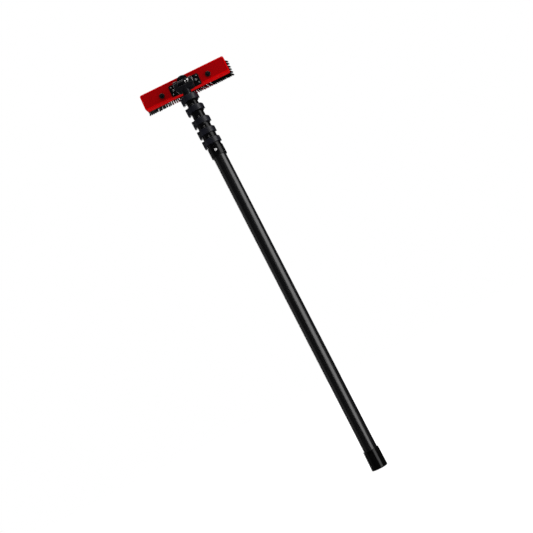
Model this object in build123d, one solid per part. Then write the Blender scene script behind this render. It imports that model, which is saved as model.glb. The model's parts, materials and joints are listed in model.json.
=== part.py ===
"""Telescopic window cleaning pole with a hinged wash brush.

Six tubes slide inside each other and are held by five lever clamps. A fork on the thinnest
tube carries the brush on a hinge bolt. The pole stands along +Z with its origin at the centre
of the end cap's underside. The brush is long in X and its bristles point to +Y. The whole head
sits slightly out of square on the pole, lower on its right.
"""

import os
from math import cos, radians, sin

from build123d import *

# Tubes, from the thick base section 1 to the thin top section 6
SECTIONS = 6
BASE_OD = 44.5
OD_STEP = 3.0
TUBE_WALL = 1.2
SLIDE_GAP = 0.3
INNER_TUBE_FOOT = 11.0
FOOT_STEP = 12.0

# End cap
CAP_HEIGHT = 61.5
CAP_TOP_R = 25.2
CAP_FOOT_R = 25.9
CAP_FLOOR = 5.0

# Guide bungs in the lower ends of the sliding tubes
BUNG_FLANGE = 4.0
BUNG_PLUG = 7.0
BUNG_WALL = 3.3
BUNG_CLEARANCE = 0.1

# Lever clamps: heights are measured from the middle of the lever band
FIRST_BAND_Z = 1136.0
CLAMP_STEPS = [35.5, 37.5, 45.0, 39.0]
BAND_HALF = 10.0
RING_R = 24.2
SLEEVE_WALL = 2.8
SLEEVE_GAP = 0.5
BASE_SLEEVE_R = 26.0
BASE_SLEEVE_BOTTOM = -52.0
BASE_SLEEVE_TOP = -19.0
SKIRT_HEIGHT = 3.5
SLIT = 2.5
LUG_LEFT = -31.0
LUG_DEPTH = 6.5
LUG_BOTTOM = -7.0
LUG_TOP = 9.0

# Clamp lever and its pivot
PIVOT_X = -26.4
PIVOT_Y = -11.0
BARREL_R = 4.0
BARREL_BOTTOM = -17.0
CAM_R = 4.2
CAM_OFFSET = 0.2
ARM_INNER_R = 24.8
ARM_OUTER_R = 28.0
ARM_END_ANGLE = 4.0
TAB_R = 29.2
PIN_R = 2.2
PIN_HEAD_R = 3.0
RUNNING_GAP = 0.05
TENSION_SHANK_R = 1.6
TENSION_HEAD_R = 3.4
TENSION_HEAD = 3.6

# Screws that hold a clamp's sleeve to its tube
SLEEVE_SCREW_RISE = 4.2
BASE_SCREW_Z = -33.0
SLEEVE_SCREW_R = 3.3
BASE_SCREW_R = 4.4
SCREW_SHANK_R = 1.5
SCREW_HEAD = 1.8
SPOT_FACE = 0.7

# The head leans about the mouth of the top tube
NECK_FOOT_Z = 1309.0
HEAD_LEAN = 2.4

# Brush hinge: heights are measured from the bolt
HINGE_Z = 1352.0
FORK_LEFT = -30.0
FORK_RIGHT = 33.0
FORK_GAP_LEFT = -16.4
FORK_GAP_RIGHT = 21.4
FORK_HALF_DEPTH = 13.0
FORK_BOTTOM = -28.0
FORK_LIP = -10.3
FORK_SADDLE = -18.0
FORK_CORNER_R = 12.0
LEFT_EAR_R = 13.0
RIGHT_EAR_R = 9.6
NECK_R = 14.4
SPIGOT_LENGTH = 60.0
KNUCKLE_LEFT = -15.8
KNUCKLE_RIGHT = 16.0
KNUCKLE_R = 9.6
WINDOW_X = 9.9
WINDOW_WIDTH = 4.6
BOLT_R = 5.0
HEX_HEAD_FLATS = 16.0
HEX_HEAD = 5.5
HEX_RECESS_R = 9.8
NUT_R = 7.2
NUT_RECESS_R = 7.5
RECESS = 4.5
SPACER_R = 7.0

# Hinge plate and its arched housing
FACE_Z = HINGE_Z + 4.6
PLATE_LENGTH = 106.0
PLATE_HEIGHT = 38.6
PLATE_THICK = 5.0
HOUSING_LEFT = -15.8
HOUSING_RIGHT = 18.0
HOUSING_Y = 15.0
HOUSING_BOTTOM = -8.0
HOUSING_SHOULDER = 22.0
HOUSING_TOP = 30.5
PLATE_SCREWS = [(40.0, 0.0, 3.8), (46.0, 12.0, 2.3), (46.0, -12.0, 2.3)]

# Brush block
BLOCK_Z = HINGE_Z + 12.0
BLOCK_BACK_Y = 45.0
BLOCK_THICK = 26.0
BLOCK_LENGTH = 301.0
BLOCK_HEIGHT = 54.0
BLOCK_CORNER_R = 6.0
RIM_WIDTH = 4.5
RIM_HEIGHT = 1.2
PANEL_Y = BLOCK_BACK_Y + RIM_HEIGHT
BLOCK_FRONT_Y = BLOCK_BACK_Y + BLOCK_THICK

# Water jets through the block
JET_X = 82.6
JET_THREAD_R = 5.0
JET_NUT_FLATS = 17.0
JET_NUT = 5.0
JET_BORE_R = 1.6
TAIL_R = 4.0
TAIL_LENGTH = 11.0
TAIL_CHAMFER = 0.6
SEAL_R = 8.0
SEAL = 1.0
NOZZLE = 5.0
NOZZLE_CLEAR_R = 8.0

# Bristles
BRISTLE_LENGTH = 43.0
BRISTLE_EDGE_X = 4.0
BRISTLE_EDGE_Z = 4.0
BRISTLE_CENTRE_HALF = 72.0
BRISTLE_GAP = 0.5
END_FLARE = 10.5
SIDE_FLARE = 3.0


def tube_r(section):
    """Outer radius of a tube."""
    return (BASE_OD - OD_STEP * (section - 1)) / 2


def band_z(clamp):
    """Height of the middle of a clamp's lever band."""
    return FIRST_BAND_Z + sum(CLAMP_STEPS[: clamp - 1])


def sleeve_bottom(clamp):
    """Height of a sleeve's lower end: a sleeve reaches down to the clamp below it."""
    if clamp == 1:
        return band_z(1) + BASE_SLEEVE_BOTTOM
    return band_z(clamp - 1) + BAND_HALF + SLEEVE_GAP


def tube_foot(section):
    """Height of a tube's lower end with the pole closed."""
    return CAP_FLOOR if section == 1 else INNER_TUBE_FOOT + FOOT_STEP * (section - 2)


def tube_top(section):
    """Height of a tube's upper end: a shoulder in its clamp, or the fork's shoulder."""
    return NECK_FOOT_Z if section == SECTIONS else band_z(section) - BAND_HALF


def sleeve_r(clamp):
    """Outer radius of the sleeve that a clamp has round its own tube."""
    return BASE_SLEEVE_R if clamp == 1 else tube_r(clamp) + SLEEVE_WALL


def screw_z(clamp):
    """Height of the screws through a clamp's sleeve."""
    return band_z(1) + BASE_SCREW_Z if clamp == 1 else sleeve_bottom(clamp) + SLEEVE_SCREW_RISE


def upright(radius, low, high, x=0.0, y=0.0):
    """Vertical round bar between two heights."""
    return Pos(x, y, (low + high) / 2) * Cylinder(radius, high - low)


def along_y(radius, near, far, x=0.0, z=0.0):
    """Round bar along Y between two depths."""
    return Pos(x, (near + far) / 2, z) * Rot(90, 0, 0) * Cylinder(radius, far - near)


def along_x(radius, left, right, y=0.0, z=0.0):
    """Round bar along X between two places."""
    return Pos((left + right) / 2, y, z) * Rot(0, 90, 0) * Cylinder(radius, right - left)


def block(x, y, z):
    """Box from three (low, high) pairs."""
    size = [high - low for low, high in (x, y, z)]
    centre = [(high + low) / 2 for low, high in (x, y, z)]
    return Pos(*centre) * Box(*size)


def end_cap():
    """Moulded foot: a deep cup round the base tube with a rolled lip at its mouth."""
    body = Cone(CAP_FOOT_R, CAP_TOP_R, CAP_HEIGHT, align=(Align.CENTER, Align.CENTER, Align.MIN))
    rims = body.edges().filter_by(GeomType.CIRCLE).sort_by(Axis.Z)
    body = fillet(rims[0], 2.5)
    body = fillet(body.edges().filter_by(GeomType.CIRCLE).sort_by(Axis.Z)[-1], 1.2)
    lip_groove = upright(CAP_TOP_R + 2, CAP_HEIGHT - 5.2, CAP_HEIGHT - 4.0)
    lip_groove -= upright(CAP_TOP_R - 0.5, CAP_HEIGHT - 6, CAP_HEIGHT)
    return body - lip_groove - upright(tube_r(1), CAP_FLOOR, CAP_HEIGHT + 1)


def tube(section):
    """One pole section, with the holes for its sleeve screws."""
    radius = tube_r(section)
    foot = tube_foot(section)
    top = tube_top(section)
    pipe = upright(radius, foot, top) - upright(radius - TUBE_WALL, foot - 1, top + 1)
    if section < SECTIONS:
        pipe -= along_y(SCREW_SHANK_R, -radius - 1, radius + 1, z=screw_z(section))
    return pipe


def bung(section):
    """Guide ring in a tube's lower end; its flange runs in the tube outside it."""
    foot = tube_foot(section)
    bore = tube_r(section - 1) - TUBE_WALL
    plug_r = tube_r(section) - TUBE_WALL
    ring = upright(bore - BUNG_CLEARANCE, foot - BUNG_FLANGE, foot)
    ring += upright(plug_r, foot, foot + BUNG_PLUG)
    ring = chamfer(ring.edges().filter_by(GeomType.CIRCLE).sort_by(Axis.Z)[0], 0.8)
    return ring - upright(plug_r - BUNG_WALL, foot - BUNG_FLANGE - 1, foot + BUNG_PLUG + 1)


def clamp_lugs(mid):
    """Two ears beside the slit, which the lever's cam draws together."""
    lugs = block((LUG_LEFT, -20.0), (-LUG_DEPTH, LUG_DEPTH + 1.0), (mid + LUG_BOTTOM, mid + LUG_TOP))
    return fillet(lugs.edges().filter_by(Axis.Z).sort_by(Axis.X)[:2], 2.0)


def clamp_body(clamp):
    """Sleeve round its own tube, and a split ring that grips the next tube."""
    mid = band_z(clamp)
    own_r = tube_r(clamp)
    grip_r = tube_r(clamp + 1) + SLIDE_GAP
    outer_r = sleeve_r(clamp)
    ring_foot = mid - BAND_HALF
    ring = upright(RING_R, ring_foot, mid + BAND_HALF)
    ring = fillet(ring.edges().filter_by(GeomType.CIRCLE).sort_by(Axis.Z)[-1], 1.0)
    if clamp == 1:
        sleeve = upright(outer_r, sleeve_bottom(1), mid + BASE_SLEEVE_TOP)
        sleeve = fillet(sleeve.edges().filter_by(GeomType.CIRCLE), 1.2)
        sleeve += upright(RING_R - 0.6, mid + BASE_SLEEVE_TOP, ring_foot)
    else:
        skirt_foot = ring_foot - SKIRT_HEIGHT
        sleeve = upright(outer_r, sleeve_bottom(clamp), skirt_foot)
        sleeve = fillet(sleeve.edges().filter_by(GeomType.CIRCLE).sort_by(Axis.Z)[0], 0.8)
        sleeve += Pos(0, 0, ring_foot - SKIRT_HEIGHT / 2) * Cone(outer_r, RING_R - 0.6, SKIRT_HEIGHT)
    body = ring + sleeve + clamp_lugs(mid)
    body -= upright(own_r, sleeve_bottom(clamp) - 1, ring_foot)
    body -= upright(grip_r, ring_foot - 1, mid + BAND_HALF + 1)
    body -= block((LUG_LEFT - 1, -grip_r / 2), (-SLIT / 2, SLIT / 2), (mid + LUG_BOTTOM, mid + BAND_HALF + 1))
    body -= along_y(TENSION_SHANK_R + 0.1, -LUG_DEPTH - 1, LUG_DEPTH + 2, x=PIVOT_X, z=mid)
    head_r = screw_head_r(clamp) + 0.3
    body -= along_y(SCREW_SHANK_R, -RING_R - 3, RING_R + 3, z=screw_z(clamp))
    for side in (-1, 1):
        near, far = sorted((side * (outer_r - SPOT_FACE), side * (outer_r + 3)))
        body -= along_y(head_r, near, far, z=screw_z(clamp))
    return body


def screw_head_r(clamp):
    """Head radius of a clamp's sleeve screws."""
    return BASE_SCREW_R if clamp == 1 else SLEEVE_SCREW_R


def lever_arm(mid):
    """Curved arm that wraps the front of the ring, with a finger tab that flares at its end."""
    low = mid - BAND_HALF + 0.4
    high = mid + BAND_HALF
    ring = upright(ARM_OUTER_R, low, high)
    ring = fillet(ring.edges().filter_by(GeomType.CIRCLE), 1.4)
    start = radians(203)
    middle = radians(280)
    end = radians(ARM_END_ANGLE)
    reach = 60.0
    wedge = Polyline(
        (0, 0),
        (reach * cos(start), reach * sin(start)),
        (reach * cos(middle), 1.4 * reach * sin(middle)),
        (reach, -reach),
        (reach * cos(end), reach * sin(end)),
        close=True,
    )
    wedge = Pos(0, 0, low - 1) * extrude(make_face(wedge), high - low + 2)
    arm = (ring & wedge) - upright(ARM_INNER_R, low - 1, high + 1)
    tab = Polyline(
        (ARM_INNER_R + 0.2, -9.0),
        (ARM_OUTER_R - 1.4, -9.0),
        (TAB_R - 0.6, 0.5),
        (TAB_R, 3.0),
        (TAB_R - 1.6, 4.2),
        (ARM_INNER_R + 1.2, 3.0),
        close=True,
    )
    tab = Pos(0, 0, low + 0.8) * extrude(make_face(tab), high - low - 1.6)
    tab -= upright(ARM_INNER_R, low, high)
    return arm + tab


def clamp_lever(clamp):
    """Cam lever: pivot barrel, cam and wrapping arm."""
    mid = band_z(clamp)
    low = mid + BARREL_BOTTOM
    high = mid + BAND_HALF
    barrel = upright(BARREL_R, low, high, PIVOT_X, PIVOT_Y)
    barrel = fillet(barrel.edges().filter_by(GeomType.CIRCLE).sort_by(Axis.Z)[0], 1.5)
    cam = upright(CAM_R, mid + LUG_BOTTOM, mid + LUG_TOP, PIVOT_X, PIVOT_Y + CAM_OFFSET)
    lever = barrel + cam + lever_arm(mid)
    lever -= upright(PIN_R + RUNNING_GAP, low - 1, high + 1, PIVOT_X, PIVOT_Y)
    sweep_r = 12.0
    fan = [(PIVOT_X, PIVOT_Y)]
    for angle in range(40, 261, 44):
        fan.append((PIVOT_X + sweep_r * cos(radians(angle)), PIVOT_Y + sweep_r * sin(radians(angle))))
    slot = extrude(make_face(Polyline(*fan, close=True)), 2 * (TENSION_SHANK_R + 0.4))
    return lever - Pos(0, 0, mid - TENSION_SHANK_R - 0.4) * slot


def lever_pin(clamp):
    """Pivot pin, headed at its lower end, with a cross hole for the tension screw."""
    mid = band_z(clamp)
    low = mid + BARREL_BOTTOM - 0.3
    pin = upright(PIN_R, low, mid + BAND_HALF + 0.8, PIVOT_X, PIVOT_Y)
    head = upright(PIN_HEAD_R, low - 1.2, low, PIVOT_X, PIVOT_Y)
    head = fillet(head.edges().filter_by(GeomType.CIRCLE).sort_by(Axis.Z)[0], 0.7)
    hole = along_y(TENSION_SHANK_R, PIVOT_Y - 5, PIVOT_Y + 5, x=PIVOT_X, z=mid)
    return pin + head - hole


def tension_screw(clamp):
    """Cap screw from the rear lug into the pivot pin; it sets the clamp's grip."""
    mid = band_z(clamp)
    seat = LUG_DEPTH + 1.0
    shank = along_y(TENSION_SHANK_R, PIVOT_Y - 1.6, seat, x=PIVOT_X, z=mid)
    head = along_y(TENSION_HEAD_R, seat, seat + TENSION_HEAD, x=PIVOT_X, z=mid)
    head = fillet(head.edges().filter_by(GeomType.CIRCLE).sort_by(Axis.Y)[-1], 0.6)
    socket = Pos(PIVOT_X, seat + TENSION_HEAD - 2, mid) * Rot(-90, 0, 0)
    socket *= extrude(RegularPolygon(1.7, 6), 3)
    return shank + head - socket


def sleeve_screws(clamp):
    """Front and rear pan-head screws through the sleeve and the tube wall."""
    seat = sleeve_r(clamp) - SPOT_FACE
    tip = tube_r(clamp) - TUBE_WALL + 0.2
    z = screw_z(clamp)
    head = along_y(screw_head_r(clamp), -seat - SCREW_HEAD, -seat, z=z)
    head = fillet(head.edges().filter_by(GeomType.CIRCLE).sort_by(Axis.Y)[0], 1.1)
    front = head + along_y(SCREW_SHANK_R, -seat, -tip, z=z)
    front -= block((-2.2, 2.2), (-seat - SCREW_HEAD - 1, -seat - SCREW_HEAD + 0.7), (z - 0.4, z + 0.4))
    return Compound([front, Rot(0, 0, 180) * front])


def leaned(shape):
    """A head part as fitted: the head leans to the right about the mouth of the top tube."""
    return Pos(0, 0, NECK_FOOT_Z) * Rot(0, HEAD_LEAN, 0) * Pos(0, 0, -NECK_FOOT_Z) * shape


def ear(radius, left, right):
    """One ear of the fork, round over the bolt."""
    root = block((left, right), (-radius, radius), (HINGE_Z + FORK_SADDLE, HINGE_Z))
    head = along_x(radius, left, right, z=HINGE_Z)
    return fillet(head.edges().filter_by(GeomType.CIRCLE), 1.4) + root


def yoke():
    """Rounded cross-piece with a low lip in front, a deeper saddle behind and two ears."""
    low = HINGE_Z + FORK_BOTTOM
    depth = (-FORK_HALF_DEPTH, FORK_HALF_DEPTH)
    base = block((FORK_LEFT, FORK_RIGHT), depth, (low, HINGE_Z + FORK_LIP))
    base = fillet(base.edges().filter_by(Axis.Y).sort_by(Axis.Z)[:2], FORK_CORNER_R)
    base = fillet(base.faces().sort_by(Axis.Y)[0].edges(), 1.8)
    gap = (FORK_GAP_LEFT, FORK_GAP_RIGHT)
    base -= block(gap, (-1, FORK_HALF_DEPTH + 1), (HINGE_Z + FORK_SADDLE, HINGE_Z))
    return base + ear(LEFT_EAR_R, FORK_LEFT, FORK_GAP_LEFT) + ear(RIGHT_EAR_R, FORK_GAP_RIGHT, FORK_RIGHT)


def hinge_fork():
    """Plug, leaning neck and two-eared fork on the top tube."""
    spigot_r = tube_r(SECTIONS) - TUBE_WALL
    plug = upright(spigot_r, NECK_FOOT_Z - SPIGOT_LENGTH, NECK_FOOT_Z)
    plug = chamfer(plug.edges().filter_by(GeomType.CIRCLE).sort_by(Axis.Z)[0], 1.5)
    neck = upright(NECK_R, NECK_FOOT_Z - 2, HINGE_Z + FORK_SADDLE - 1)
    head = leaned(neck + yoke() - bolt_holes())
    head -= block((-40, 40), (-40, 40), (NECK_FOOT_Z - 10, NECK_FOOT_Z))
    return plug + head


def bolt_holes():
    """Hinge bolt's hole through both ears, with a recess for its head and one for its nut."""
    holes = along_x(BOLT_R + RUNNING_GAP, FORK_LEFT - 1, FORK_RIGHT + 1, z=HINGE_Z)
    holes += along_x(HEX_RECESS_R, FORK_LEFT - 1, FORK_LEFT + RECESS, z=HINGE_Z)
    return holes + along_x(NUT_RECESS_R, FORK_RIGHT - RECESS, FORK_RIGHT + 1, z=HINGE_Z)


def hinge_bolt():
    """Hex bolt through both ears and the knuckle."""
    seat = FORK_LEFT + RECESS
    prism = extrude(RegularPolygon(HEX_HEAD_FLATS / 2, 6, major_radius=False), HEX_HEAD)
    head = Pos(seat - HEX_HEAD, 0, HINGE_Z) * Rot(0, 90, 0) * prism
    return head + along_x(BOLT_R, seat, FORK_RIGHT - 0.6, z=HINGE_Z)


def hinge_nut():
    """Round slotted nut, nearly flush in the right-hand ear; it sets the hinge's friction."""
    seat = FORK_RIGHT - RECESS
    nut = along_x(NUT_R, seat, FORK_RIGHT + 0.4, z=HINGE_Z)
    nut = chamfer(nut.edges().filter_by(GeomType.CIRCLE).sort_by(Axis.X)[-1], 0.7)
    nut -= along_x(BOLT_R, seat - 1, FORK_RIGHT + 1, z=HINGE_Z)
    return nut - block((FORK_RIGHT - 1, FORK_RIGHT + 1), (-NUT_R, NUT_R), (HINGE_Z - 0.8, HINGE_Z + 0.8))


def thrust_spacer():
    """Steel spacer between the knuckle and the right-hand ear."""
    left = KNUCKLE_RIGHT + 0.35
    ring = along_x(SPACER_R, left, FORK_GAP_RIGHT, z=HINGE_Z)
    return ring - along_x(BOLT_R, left - 1, FORK_GAP_RIGHT + 1, z=HINGE_Z)


def housing():
    """Arched housing that stands out from the plate behind the bolt."""
    left = HOUSING_LEFT
    right = HOUSING_RIGHT
    middle = (left + right) / 2
    sides = Polyline(
        (left, HOUSING_SHOULDER), (left, HOUSING_BOTTOM), (right, HOUSING_BOTTOM), (right, HOUSING_SHOULDER)
    )
    arch = ThreePointArc((right, HOUSING_SHOULDER), (middle, HOUSING_TOP), (left, HOUSING_SHOULDER))
    depth = PANEL_Y - PLATE_THICK + 1 - HOUSING_Y
    body = extrude(make_face(sides + arch), depth)
    body = fillet(body.faces().sort_by(Axis.Z)[-1].edges(), 1.8)
    return Pos(0, HOUSING_Y + depth, HINGE_Z) * Rot(90, 0, 0) * body


def hinge_plate():
    """Screwed-on plate with its housing and knuckle; a window in front shows the bolt."""
    back = PANEL_Y - PLATE_THICK
    half = PLATE_HEIGHT / 2
    plate = block((-PLATE_LENGTH / 2, PLATE_LENGTH / 2), (back, PANEL_Y), (FACE_Z - half, FACE_Z + half))
    plate = fillet(plate.edges().filter_by(Axis.Y), 6.0)
    plate = fillet(plate.faces().sort_by(Axis.Y)[0].edges(), 1.2)
    plate += housing()
    plate += along_x(KNUCKLE_R, KNUCKLE_LEFT, KNUCKLE_RIGHT, z=HINGE_Z)
    reach = (HINGE_Z + HOUSING_BOTTOM, HINGE_Z + KNUCKLE_R)
    plate += block((KNUCKLE_LEFT, KNUCKLE_RIGHT), (0, HOUSING_Y + 2), reach)
    plate -= along_x(BOLT_R + RUNNING_GAP, KNUCKLE_LEFT - 1, KNUCKLE_RIGHT + 1, z=HINGE_Z)
    window = (WINDOW_X - WINDOW_WIDTH / 2, WINDOW_X + WINDOW_WIDTH / 2)
    plate -= block(window, (-KNUCKLE_R - 1, 0), (HINGE_Z - KNUCKLE_R - 1, HINGE_Z + KNUCKLE_R + 1))
    for x, z, head_r in plate_screw_places():
        plate -= along_y(SCREW_SHANK_R, back - 1, PANEL_Y + 1, x=x, z=z)
        plate -= along_y(head_r + 0.3, back - 1, back + 1.0, x=x, z=z)
    return plate


def plate_screw_places():
    """Place and head radius of each screw in the hinge plate."""
    return [(side * x, FACE_Z + z, head_r) for side in (-1, 1) for x, z, head_r in PLATE_SCREWS]


def plate_screws():
    """Pan-head screws that hold the hinge plate to the block."""
    seat = PANEL_Y - PLATE_THICK + 1.0
    screws = []
    for x, z, head_r in plate_screw_places():
        head = along_y(head_r, seat - 2.0, seat, x=x, z=z)
        head = fillet(head.edges().filter_by(GeomType.CIRCLE).sort_by(Axis.Y)[0], 1.0)
        slot = block((x - 0.4, x + 0.4), (seat - 3, seat - 1.2), (z - head_r / 2, z + head_r / 2))
        screws.append(head + along_y(SCREW_SHANK_R, seat, PANEL_Y + 14, x=x, z=z) - slot)
    return Compound(screws)


def brush_block():
    """Red brush stock with a shallow panel inside a raised rim on its back."""
    x = BLOCK_LENGTH / 2
    z = BLOCK_HEIGHT / 2
    stock = block((-x, x), (BLOCK_BACK_Y, BLOCK_FRONT_Y), (BLOCK_Z - z, BLOCK_Z + z))
    stock = fillet(stock.edges().filter_by(Axis.Y), BLOCK_CORNER_R)
    stock = fillet(stock.faces().sort_by(Axis.Y)[0].edges(), 1.5)
    x -= RIM_WIDTH
    z -= RIM_WIDTH
    panel = block((-x, x), (BLOCK_BACK_Y - 1, PANEL_Y), (BLOCK_Z - z, BLOCK_Z + z))
    stock -= fillet(panel.edges().filter_by(Axis.Y), BLOCK_CORNER_R - 2)
    seat = PLATE_LENGTH / 2 + 0.3
    stock -= block((-seat, seat), (BLOCK_BACK_Y - 1, PANEL_Y), (FACE_Z - PLATE_HEIGHT / 2 - 1, FACE_Z))
    for side in (-1, 1):
        stock -= along_y(JET_THREAD_R, BLOCK_BACK_Y - 1, BLOCK_FRONT_Y + 1, x=side * JET_X, z=FACE_Z)
    for screw_x, screw_height, _ in plate_screw_places():
        stock -= along_y(SCREW_SHANK_R, PANEL_Y - 1, PANEL_Y + 14, x=screw_x, z=screw_height)
    return stock


def jet(side):
    """Water jet: threaded body through the block, hose tail behind and nozzle in front."""
    x = side * JET_X
    nut_back = PANEL_Y - SEAL - JET_NUT
    body = along_y(JET_THREAD_R, nut_back, BLOCK_FRONT_Y, x=x, z=FACE_Z)
    tail = along_y(TAIL_R, nut_back - TAIL_LENGTH, nut_back, x=x, z=FACE_Z)
    body += chamfer(tail.edges().filter_by(GeomType.CIRCLE).sort_by(Axis.Y)[0], TAIL_CHAMFER)
    nozzle = Rot(-90, 0, 0) * Cone(JET_THREAD_R, 3.0, NOZZLE)
    body += Pos(x, BLOCK_FRONT_Y + NOZZLE / 2, FACE_Z) * nozzle
    return body - along_y(JET_BORE_R, nut_back - TAIL_LENGTH - 1, BLOCK_FRONT_Y + NOZZLE + 1, x=x, z=FACE_Z)


def jet_nuts():
    """Hex nuts that hold the two jets."""
    back = PANEL_Y - SEAL - JET_NUT
    nuts = []
    for side in (-1, 1):
        prism = extrude(RegularPolygon(JET_NUT_FLATS / 2, 6, major_radius=False), JET_NUT)
        nut = Pos(side * JET_X, back, FACE_Z) * Rot(-90, 0, 0) * prism
        crown = along_y(JET_NUT_FLATS / 2 + 0.9, back, PANEL_Y, x=side * JET_X, z=FACE_Z)
        crown = fillet(crown.edges().filter_by(GeomType.CIRCLE).sort_by(Axis.Y)[0], 1.2)
        bore = along_y(JET_THREAD_R, back - 1, PANEL_Y + 1, x=side * JET_X, z=FACE_Z)
        nuts.append((nut & crown) - bore)
    return Compound(nuts)


def jet_seals():
    """Sealing washers under the jet nuts."""
    seals = []
    for side in (-1, 1):
        seal = along_y(SEAL_R, PANEL_Y - SEAL, PANEL_Y, x=side * JET_X, z=FACE_Z)
        seals.append(seal - along_y(JET_THREAD_R, PANEL_Y - 2, PANEL_Y + 1, x=side * JET_X, z=FACE_Z))
    return Compound(seals)


def bristles(left, right, left_flare, right_flare):
    """Closed envelope of one field of tufts, wider at the tips than at the block."""
    half = BLOCK_HEIGHT / 2 - BRISTLE_EDGE_Z
    tip_half = half + SIDE_FLARE
    root = Pos((left + right) / 2, 0, 0) * Rectangle(right - left, 2 * half)
    tip_left = left - left_flare
    tip_right = right + right_flare
    tips = Pos((tip_left + tip_right) / 2, 0, BRISTLE_LENGTH) * Rectangle(tip_right - tip_left, 2 * tip_half)
    field = Pos(0, BLOCK_FRONT_Y, BLOCK_Z) * Rot(-90, 0, 0) * loft([root, tips])
    for side in (-1, 1):
        field -= along_y(NOZZLE_CLEAR_R, BLOCK_FRONT_Y - 1, BLOCK_FRONT_Y + 60, x=side * JET_X, z=FACE_Z)
    return field


def brush_parts():
    """Everything that turns on the hinge bolt, before the head's lean."""
    edge = BLOCK_LENGTH / 2 - BRISTLE_EDGE_X
    centre = BRISTLE_CENTRE_HALF
    return {
        "hinge_plate": hinge_plate(),
        "plate_screws": plate_screws(),
        "brush_block": brush_block(),
        "jet_left": jet(-1),
        "jet_right": jet(1),
        "jet_nuts": jet_nuts(),
        "jet_seals": jet_seals(),
        "bristles_left": bristles(-edge, -centre - BRISTLE_GAP, END_FLARE, 0.0),
        "bristles_centre": bristles(-centre, centre, 0.0, 0.0),
        "bristles_right": bristles(centre + BRISTLE_GAP, edge, 0.0, END_FLARE),
    }


def all_parts():
    """Every sub-part by name."""
    parts = {"end_cap": end_cap()}
    for section in range(1, SECTIONS + 1):
        parts[f"tube_{section}"] = tube(section)
    for section in range(2, SECTIONS + 1):
        parts[f"bung_{section}"] = bung(section)
    for clamp in range(1, SECTIONS):
        parts[f"clamp_body_{clamp}"] = clamp_body(clamp)
        parts[f"clamp_lever_{clamp}"] = clamp_lever(clamp)
        parts[f"lever_pin_{clamp}"] = lever_pin(clamp)
        parts[f"tension_screw_{clamp}"] = tension_screw(clamp)
        parts[f"sleeve_screws_{clamp}"] = sleeve_screws(clamp)
    parts["hinge_fork"] = hinge_fork()
    parts["hinge_bolt"] = leaned(hinge_bolt())
    parts["hinge_nut"] = leaned(hinge_nut())
    parts["thrust_spacer"] = leaned(thrust_spacer())
    for name, shape in brush_parts().items():
        parts[name] = leaned(shape)
    return parts


os.makedirs("parts", exist_ok=True)
for name, shape in all_parts().items():
    export_step(shape, f"parts/{name}.step")
    print(name, round(shape.volume))
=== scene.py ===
"""Looks of the window cleaning pole: materials, bristles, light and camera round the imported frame."""

import json
import math
import random

import bpy
from mathutils import Matrix, Vector


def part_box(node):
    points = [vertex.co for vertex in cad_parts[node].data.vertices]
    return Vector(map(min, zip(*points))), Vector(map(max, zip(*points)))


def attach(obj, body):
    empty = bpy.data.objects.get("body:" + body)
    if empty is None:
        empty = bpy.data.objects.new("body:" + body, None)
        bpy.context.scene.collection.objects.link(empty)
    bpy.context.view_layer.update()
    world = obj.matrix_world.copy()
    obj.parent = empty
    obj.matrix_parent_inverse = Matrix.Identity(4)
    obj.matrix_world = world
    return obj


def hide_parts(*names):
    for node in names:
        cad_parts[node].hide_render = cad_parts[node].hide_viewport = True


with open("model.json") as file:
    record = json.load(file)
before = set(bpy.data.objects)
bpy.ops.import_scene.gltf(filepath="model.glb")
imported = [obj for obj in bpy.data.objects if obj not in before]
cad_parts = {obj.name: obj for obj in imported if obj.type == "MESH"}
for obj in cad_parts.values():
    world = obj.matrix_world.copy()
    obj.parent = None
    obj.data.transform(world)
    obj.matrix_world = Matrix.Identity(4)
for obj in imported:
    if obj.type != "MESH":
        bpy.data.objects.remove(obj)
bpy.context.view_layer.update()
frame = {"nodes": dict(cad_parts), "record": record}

NODES = frame["nodes"]
MM = 0.001
SECTIONS = 6
CLAMPS = range(1, SECTIONS)


# Node helpers

MIX_FACTOR = 0
MIX_FIRST_COLOUR = 6
MIX_SECOND_COLOUR = 7
MIX_COLOUR_OUT = 2


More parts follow.
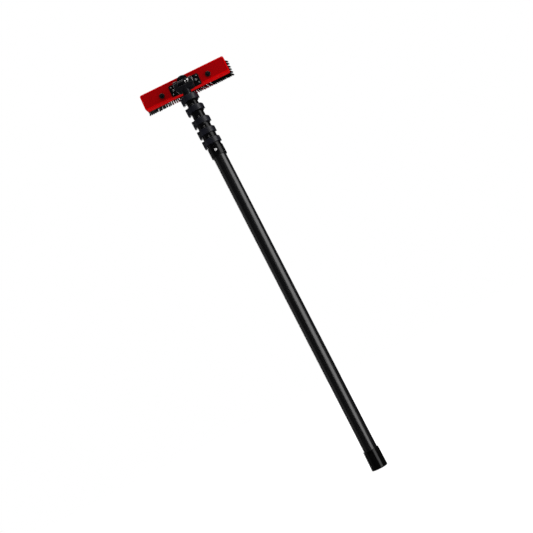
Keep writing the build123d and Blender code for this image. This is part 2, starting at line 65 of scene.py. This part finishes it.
class Shader:
    """A node material under construction, with a Principled shader on its output.

    Methods that make a value return (node, output name), which other nodes take as an input.
    """

    def __init__(self, name, **sockets):
        self.material = bpy.data.materials.new(name)
        self.material.use_nodes = True
        self.tree = self.material.node_tree
        self.tree.nodes.clear()
        self.out = self.tree.nodes.new("ShaderNodeOutputMaterial")
        self.surface = self.add("ShaderNodeBsdfPrincipled")
        self.feed(self.out, "Surface", (self.surface, "BSDF"))
        self.set(**sockets)

    def set(self, **sockets):
        for name, value in sockets.items():
            self.feed(self.surface, name.replace("_", " "), value)

    def feed(self, node, socket, value):
        """Link a made value to a socket, or set the socket to a plain one."""
        if isinstance(value, tuple) and hasattr(value[0], "outputs"):
            self.tree.links.new(value[0].outputs[value[1]], node.inputs[socket])
        else:
            node.inputs[socket].default_value = value

    def add(self, kind, inputs=None, **settings):
        node = self.tree.nodes.new(kind)
        for key, value in settings.items():
            setattr(node, key, value)
        for socket, value in (inputs or {}).items():
            self.feed(node, socket, value)
        return node

    def math(self, operation, first, second=0.0):
        node = self.add("ShaderNodeMath", {0: first, 1: second}, operation=operation)
        return (node, "Value")

    def place(self):
        node = self.add("ShaderNodeTexCoord")
        return (node, "Object")

    def xyz(self, place):
        node = self.add("ShaderNodeSeparateXYZ", {"Vector": place})
        return (node, "X"), (node, "Y"), (node, "Z")

    def noise(self, vector, scale, detail=3.0, roughness=0.5):
        node = self.add(
            "ShaderNodeTexNoise",
            {"Vector": vector, "Scale": scale, "Detail": detail, "Roughness": roughness},
        )
        return (node, "Fac")

    def between(self, value, low, high, to_low=0.0, to_high=1.0):
        node = self.add(
            "ShaderNodeMapRange",
            {"Value": value, "From Min": low, "From Max": high, "To Min": to_low, "To Max": to_high},
        )
        return (node, "Result")

    def blend(self, factor, first, second):
        node = self.add("ShaderNodeMix", data_type="RGBA")
        self.feed(node, MIX_FACTOR, factor)
        self.feed(node, MIX_FIRST_COLOUR, first)
        self.feed(node, MIX_SECOND_COLOUR, second)
        return (node, MIX_COLOUR_OUT)

    def bump(self, height, distance, strength=1.0):
        node = self.add(
            "ShaderNodeBump", {"Height": height, "Distance": distance, "Strength": strength}
        )
        self.set(Normal=(node, "Normal"))


def grey(level, tint=(1.0, 1.0, 1.0)):
    return (level * tint[0], level * tint[1], level * tint[2], 1.0)


# Materials

GRAIN = 0.25 * MM
TWILL_TURNS = 60.0
TWILL_PITCH = 3.2 * MM

# Depths behind the rim's front where the brush stock turns to its panel's red, darkened as painted
# shade, and back
PANEL_STARTS = (0.7 * MM, 1.1 * MM)
PANEL_ENDS = (1.4 * MM, 1.6 * MM)


def moulded_plastic(name, dark, light, rough, shine, depth=0.006 * MM):
    """Moulded plastic: spark-eroded grain, faint flow marks and handled, shinier patches."""
    s = Shader(name, Specular_IOR_Level=shine)
    place = s.place()
    flow = s.noise(place, 45.0, 2.0)
    s.set(Base_Color=s.blend(s.between(flow, 0.3, 0.7), dark, light))
    wear = s.noise(place, 160.0, 4.0, 0.6)
    s.set(Roughness=s.between(wear, 0.3, 0.75, rough - 0.04, rough + 0.05))
    s.bump(s.noise(place, 1.0 / GRAIN, 1.0), depth)
    return s.material


def pole_composite():
    """Clear-coated fibre tube: a faint twill under gloss, with fine scuffs along the pole."""
    s = Shader("pole_composite", Coat_Weight=0.2, Coat_Roughness=0.2)
    place = s.place()
    x, y, z = s.xyz(place)
    turn = s.math("ARCTAN2", y, x)
    around = s.math("MULTIPLY", turn, TWILL_TURNS)
    along = s.math("MULTIPLY", z, 2 * math.pi / TWILL_PITCH)
    first = s.math("SINE", s.math("ADD", around, along))
    second = s.math("SINE", s.math("SUBTRACT", around, along))
    twill = s.between(s.math("ADD", first, second), -2.0, 2.0)
    s.set(Base_Color=s.blend(twill, grey(0.0012), grey(0.0030, (0.95, 0.97, 1.15))))
    stretched = s.add("ShaderNodeMapping", {"Vector": place, "Scale": (300.0, 300.0, 18.0)})
    scuffs = s.noise((stretched, "Vector"), 1.0, 3.0)
    s.set(Roughness=s.between(scuffs, 0.35, 0.7, 0.22, 0.3))
    s.bump(twill, 0.015 * MM, 0.5)
    return s.material


def steel(name, dark, light, metal):
    """Plated or blackened steel: cloudy, slightly chalky and with a fine tooth."""
    s = Shader(name, Metallic=metal)
    place = s.place()
    cloud = s.noise(place, 260.0, 3.0)
    s.set(Base_Color=s.blend(cloud, grey(dark), grey(light, (1.0, 0.99, 0.97))))
    s.set(Roughness=s.between(cloud, 0.3, 0.7, 0.26, 0.4))
    s.bump(s.noise(place, 2400.0, 2.0), 0.006 * MM)
    return s.material


def red_stock():
    """Glossy red brush stock; the panel inside the rim is a duller red, painted darker as shade."""
    s = Shader("red_stock", Specular_IOR_Level=0.02)
    place = s.place()
    _, y, _ = s.xyz(place)
    low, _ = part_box("brush_block")
    behind_rim = s.between(y, low.y + PANEL_STARTS[0], low.y + PANEL_STARTS[1])
    before_sides = s.between(y, low.y + PANEL_ENDS[0], low.y + PANEL_ENDS[1], 1.0, 0.0)
    panel = s.math("MULTIPLY", behind_rim, before_sides)
    cloud = s.noise(place, 38.0, 3.0)
    rim = s.blend(cloud, (0.335, 0.0001, 0.0007, 1.0), (0.40, 0.0003, 0.0012, 1.0))
    # Painted shade: the panel's red is darker than the rim's, standing in for the flat panel lying in
    # shade while the rim's edges catch the light
    shaded_panel_red = s.blend(cloud, (0.178, 0.0001, 0.0007, 1.0), (0.232, 0.0002, 0.0012, 1.0))
    s.set(Base_Color=s.blend(panel, rim, shaded_panel_red))
    s.set(Roughness=s.between(panel, 0.0, 1.0, 0.26, 0.34))
    s.bump(s.noise(place, 2600.0, 2.0), 0.005 * MM)
    return s.material


def filament(name, root, tip):
    """Nylon filament, painted dark near the block as the shade among the tufts; its colour comes up
    towards the flagged tips.
    """
    s = Shader(name, Specular_IOR_Level=0.05, Roughness=0.5)
    place = s.place()
    _, y, _ = s.xyz(place)
    low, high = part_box("bristles_centre")
    # Painted shade: darker towards the roots, where the tufts shade each other, by a random amount per
    # tuft
    along = s.between(y, low.y + 0.35 * (high.y - low.y), high.y)
    tufts = s.between(s.noise(place, 150.0, 2.0), 0.3, 0.7, 0.45, 1.0)
    s.set(Base_Color=s.blend(s.math("MULTIPLY", along, tufts), root, tip))
    return s.material


def rubber():
    """Matt black rubber."""
    s = Shader("seal_rubber", Roughness=0.7)
    place = s.place()
    s.set(Base_Color=s.blend(s.noise(place, 300.0), grey(0.008), grey(0.016)))
    s.bump(s.noise(place, 3000.0), 0.02 * MM)
    return s.material


def paint(material, *names):
    for name in names:
        slots = NODES[name].data.materials
        slots.clear()
        slots.append(material)


COOL = (0.92, 0.97, 1.3)
COOLER = (0.92, 0.97, 1.35)
BLUISH = (0.85, 0.92, 1.6)
BLUISH_LIGHT = (0.85, 0.93, 1.6)

POLE = pole_composite()
CAP = moulded_plastic("cap_gloss", grey(0.0008), grey(0.0016), 0.16, 0.22, depth=0.003 * MM)
CLAMP = moulded_plastic("clamp_moulding", grey(0.0008), grey(0.0018, (0.95, 0.98, 1.2)), 0.20, 0.2)
LEVER = moulded_plastic("lever_moulding", grey(0.0030, BLUISH), grey(0.0065, BLUISH_LIGHT), 0.34, 0.34)
HINGE = moulded_plastic(
    "hinge_moulding", grey(0.0014), grey(0.0042, COOLER), 0.3, 0.16, depth=0.001 * MM
)
PLATE = moulded_plastic("plate_moulding", grey(0.0008), grey(0.0022, COOL), 0.26, 0.14)
JET = moulded_plastic("jet_moulding", grey(0.002), grey(0.004), 0.22, 0.45)
BUNG = moulded_plastic("bung_nylon", grey(0.03), grey(0.045), 0.5, 0.4)
STEEL = steel("bright_steel", 0.62, 0.82, 0.6)
DARK_STEEL = steel("blackened_steel", 0.04, 0.12, 0.8)
WORN_STEEL = steel("worn_steel", 0.18, 0.4, 0.8)
RED = red_stock()
SEAL = rubber()
BLACK_FILAMENT = filament("black_filament", grey(0.001), grey(0.004))
RED_FILAMENT = filament("red_filament", (0.006, 0.0006, 0.0008, 1.0), (0.22, 0.001, 0.012, 1.0))

paint(POLE, *[f"tube_{n}" for n in range(1, SECTIONS + 1)])
paint(BUNG, *[f"bung_{n}" for n in range(2, SECTIONS + 1)])
paint(CAP, "end_cap")
for clamp in CLAMPS:
    paint(CLAMP, f"clamp_body_{clamp}")
    paint(LEVER, f"clamp_lever_{clamp}")
    paint(STEEL, f"lever_pin_{clamp}", f"tension_screw_{clamp}")
    paint(STEEL if clamp == 1 else DARK_STEEL, f"sleeve_screws_{clamp}")
paint(HINGE, "hinge_fork")
paint(PLATE, "hinge_plate")
paint(STEEL, "hinge_bolt", "hinge_nut", "thrust_spacer")
paint(WORN_STEEL, "plate_screws")
paint(RED, "brush_block")
paint(JET, "jet_left", "jet_right", "jet_nuts")
paint(SEAL, "jet_seals")


# Bristles, built in the hinge's own frame because the head leans on the pole

TILT = next(joint for joint in frame["record"]["behaviour"]["joints"] if joint["name"] == "brush_tilt")
HINGE_AT = Vector(TILT["pos_m"])
HINGE_X = Vector(TILT["axis"]).normalized()
HINGE_Y = Vector((0.0, 1.0, 0.0))
HINGE_AXES = Matrix((HINGE_X, HINGE_Y, HINGE_X.cross(HINGE_Y))).transposed()

TUFT_PITCH = 6.5 * MM
TUFT_R = 2.55 * MM
OUTER_TUFT_R = 2.85 * MM
FILAMENT_R = 0.62 * MM
FILAMENTS = 27
GOLDEN_ANGLE = math.radians(137.5)
STRAY = 0.4 * MM
JITTER = 0.5 * MM
ROOT_DEPTH = 0.5 * MM
TUFT_ROWS = 6
ROW_INSET = 4.0 * MM
END_INSET = 6.0 * MM
SWEEP = 4.0 * MM
LEFT_FLARE = 0.125
RIGHT_FLARE = 0.09
SIDE_FLARE = 2.0 * MM


def head_box(node):
    """Lowest and highest corner of a CAD node, measured in the hinge's own frame."""
    to_head = HINGE_AXES.transposed()
    points = [to_head @ (vertex.co - HINGE_AT) for vertex in NODES[node].data.vertices]
    low = Vector([min(point[i] for point in points) for i in range(3)])
    high = Vector([max(point[i] for point in points) for i in range(3)])
    return low, high


def strand(verts, faces, root, tip, radius):
    """One filament: a tapered four-sided rod from root to tip with a closed end."""
    axis = (tip - root).normalized()
    side = axis.cross(Vector((0.0, 0.0, 1.0))).normalized()
    other = axis.cross(side)
    start = len(verts)
    middle = root.lerp(tip, 0.55)
    for centre, width in ((root, radius), (middle, radius), (tip, 0.72 * radius)):
        for corner in range(4):
            angle = math.radians(90 * corner)
            verts.append(centre + width * (math.cos(angle) * side + math.sin(angle) * other))
    for ring in (0, 4):
        for corner in range(4):
            step = (corner + 1) % 4
            faces.append([start + ring + i for i in (corner, step, step + 4, corner + 4)])
    faces.append([start + i for i in (3, 2, 1, 0)])
    faces.append([start + 8 + i for i in range(4)])


def tuft(verts, faces, chance, root, tip, radius):
    """A round bundle of filaments that opens towards its tip."""
    lean = tip - root
    for index in range(FILAMENTS):
        turn = index * GOLDEN_ANGLE
        reach = math.sqrt((index + 0.5) / FILAMENTS)
        off = Vector((math.cos(turn), 0.0, math.sin(turn))) * reach
        stray = Vector((chance.uniform(-1, 1), 0.0, chance.uniform(-1, 1))) * STRAY
        length = chance.uniform(0.96, 0.995)
        strand(
            verts,
            faces,
            root + off * radius * 0.8,
            root + lean * length + off * radius * 1.1 + stray,
            FILAMENT_R,
        )


def bristle_field(name, node, seed, radius, material, is_mine=None):
    """The tufts of one field that are in one colour, each leaning with its place in the block."""
    chance = random.Random(seed)
    low, high = head_box(node)
    block_low, block_high = head_box("brush_block")
    middle_z = (block_low.z + block_high.z) / 2
    row_pitch = (block_high.z - block_low.z - 2 * ROW_INSET) / (TUFT_ROWS - 1)
    left = max(low.x, block_low.x + END_INSET + TUFT_R)
    right = min(high.x, block_high.x - END_INSET - TUFT_R)
    columns = round((right - left) / TUFT_PITCH)
    pitch = (right - left) / columns
    verts = []
    faces = []
    for column in range(columns):
        x = left + (column + 0.5) * pitch
        flare = LEFT_FLARE if x < 0.0 else RIGHT_FLARE
        for row in range(TUFT_ROWS):
            if is_mine is not None and not is_mine(column, row):
                continue
            level = row - (TUFT_ROWS - 1) / 2
            z = middle_z + level * row_pitch
            lean_z = level / (TUFT_ROWS - 1) * 2 * SIDE_FLARE
            jitter = Vector((chance.uniform(-1, 1), 0.0, chance.uniform(-1, 1))) * JITTER
            root = Vector((x, low.y - ROOT_DEPTH, z)) + jitter * 0.4
            tip = Vector((x + SWEEP + flare * x, high.y, z + lean_z)) + jitter * 1.6
            tuft(verts, faces, chance, root, tip, radius)
    mesh = bpy.data.meshes.new(name)
    mesh.from_pydata([HINGE_AXES @ point + HINGE_AT for point in verts], [], faces)
    mesh.update()
    piece = bpy.data.objects.new(name, mesh)
    bpy.context.scene.collection.objects.link(piece)
    mesh.materials.append(material)
    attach(piece, "brush")
    return piece


def is_red(column, row):
    """Red tufts fill the middle field, apart from every fifth in its two outer rows."""
    return 0 < row < TUFT_ROWS - 1 or column % 5 > 0


def is_black(column, row):
    return not is_red(column, row)


left_field = bristle_field("tufts_left", "bristles_left", 11, OUTER_TUFT_R, BLACK_FILAMENT)
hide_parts("bristles_left")
right_field = bristle_field("tufts_right", "bristles_right", 12, OUTER_TUFT_R, BLACK_FILAMENT)
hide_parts("bristles_right")
red_field = bristle_field("tufts_middle_red", "bristles_centre", 13, TUFT_R, RED_FILAMENT, is_red)
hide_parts("bristles_centre")
dark_field = bristle_field("tufts_middle_black", "bristles_centre", 14, TUFT_R, BLACK_FILAMENT, is_black)


# Camera, light and floor

CAMERA_AT = Vector((0.198, -2.842, 0.363))
SENSOR_WIDTH = 36.0
FOCAL_LENGTH = 62.25366
SHIFT_X = -0.0473734
CAMERA_RIGHT = Vector((0.8858, 0.0972, -0.4537))
CAMERA_BACK = Vector((0.0544, -0.9928, -0.1065))
CAMERA_ROLL = math.radians(-0.17)


def make_camera():
    """Level with the lower pole and looking slightly up, rolled so that the pole leans left."""
    data = bpy.data.cameras.new("camera")
    data.sensor_width = SENSOR_WIDTH
    data.lens = FOCAL_LENGTH
    data.shift_x = SHIFT_X
    data.clip_end = 60.0
    camera = bpy.data.objects.new("camera", data)
    back = CAMERA_BACK.normalized()
    right = (CAMERA_RIGHT - CAMERA_RIGHT.dot(back) * back).normalized()
    axes = Matrix((right, back.cross(right), back)).transposed()
    axes = axes @ Matrix.Rotation(CAMERA_ROLL, 3, "Z")
    camera.matrix_world = Matrix.Translation(CAMERA_AT) @ axes.to_4x4()
    bpy.context.scene.collection.objects.link(camera)
    bpy.context.scene.camera = camera


def softbox(name, azimuth, height, distance, width, tall, power, aim_z, roll=0.0):
    """Area light that the camera can't see. Azimuth 0 is on the camera's side, 90 on the right."""
    data = bpy.data.lights.new(name, "AREA")
    data.shape = "RECTANGLE"
    data.size = width
    data.size_y = tall
    data.energy = power
    light = bpy.data.objects.new(name, data)
    light.visible_camera = False
    turn = math.radians(azimuth)
    place = Vector((distance * math.sin(turn), -distance * math.cos(turn), height))
    aim = Vector((0.0, 0.0, aim_z)) - place
    facing = aim.to_track_quat("-Z", "Y").to_matrix() @ Matrix.Rotation(math.radians(roll), 3, "Z")
    light.matrix_world = Matrix.Translation(place) @ facing.to_4x4()
    bpy.context.scene.collection.objects.link(light)


def make_world():
    """White surround for the camera; it lights matt surfaces, and gloss sees it nearly dark."""
    world = bpy.data.worlds.new("surround")
    world.use_nodes = True
    tree = world.node_tree
    tree.nodes.clear()
    path = tree.nodes.new("ShaderNodeLightPath")
    out = tree.nodes.new("ShaderNodeOutputWorld")
    levels = {}
    for name, strength in (("matt", 0.4), ("gloss", 0.035), ("seen", 1.0)):
        levels[name] = tree.nodes.new("ShaderNodeBackground")
        levels[name].inputs["Color"].default_value = (1.0, 1.0, 1.0, 1.0)
        levels[name].inputs["Strength"].default_value = strength
    shaded = levels["matt"]
    for name, ray in (("gloss", "Is Glossy Ray"), ("seen", "Is Camera Ray")):
        mix = tree.nodes.new("ShaderNodeMixShader")
        tree.links.new(path.outputs[ray], mix.inputs[0])
        tree.links.new(shaded.outputs[0], mix.inputs[1])
        tree.links.new(levels[name].outputs[0], mix.inputs[2])
        shaded = mix
    tree.links.new(shaded.outputs[0], out.inputs["Surface"])
    bpy.context.scene.world = world


def make_studio():
    """A slanted soft key on the right, light from high in front and behind, and two low fills."""
    softbox(
        "key_right",
        azimuth=52,
        height=0.85,
        distance=2.1,
        width=1.5,
        tall=3.0,
        power=50.0,
        aim_z=0.7,
        roll=-40.0,
    )
    softbox(
        "high_front", azimuth=8, height=3.4, distance=1.6, width=1.6, tall=1.0, power=26.0, aim_z=1.2
    )
    softbox(
        "high_back", azimuth=200, height=3.3, distance=1.6, width=1.8, tall=1.0, power=14.0, aim_z=1.0
    )
    softbox(
        "low_back", azimuth=215, height=1.0, distance=2.6, width=0.7, tall=2.6, power=14.0, aim_z=0.7
    )
    softbox(
        "glow_left", azimuth=-86, height=0.9, distance=2.4, width=1.8, tall=2.2, power=3.5, aim_z=0.7
    )
    make_world()


FLOOR_RADIUS = 14.0
FLOOR_CORNERS = 96
FLOOR_DROP = 0.4 * MM


def make_floor():
    """Pale disc under the cap; away from the foot it glows like the surround and hides its edge."""
    ring = [2 * math.pi * i / FLOOR_CORNERS for i in range(FLOOR_CORNERS)]
    verts = [(FLOOR_RADIUS * math.cos(a), FLOOR_RADIUS * math.sin(a), -FLOOR_DROP) for a in ring]
    mesh = bpy.data.meshes.new("studio_floor")
    mesh.from_pydata(verts, [], [list(range(FLOOR_CORNERS))])
    floor = bpy.data.objects.new("studio_floor", mesh)
    bpy.context.scene.collection.objects.link(floor)
    floor.visible_glossy = False
    s = Shader("floor_paper", Roughness=1.0, Specular_IOR_Level=0.0, Base_Color=grey(0.45))
    away = s.add("ShaderNodeVectorMath", {0: s.place()}, operation="LENGTH")
    glow = s.between((away, "Value"), 0.4, 1.6, 0.78, 1.0)
    s.set(Emission_Color=grey(1.0), Emission_Strength=glow)
    mesh.materials.append(s.material)


make_camera()
make_studio()
make_floor()
bpy.context.scene.view_settings.view_transform = "Standard"
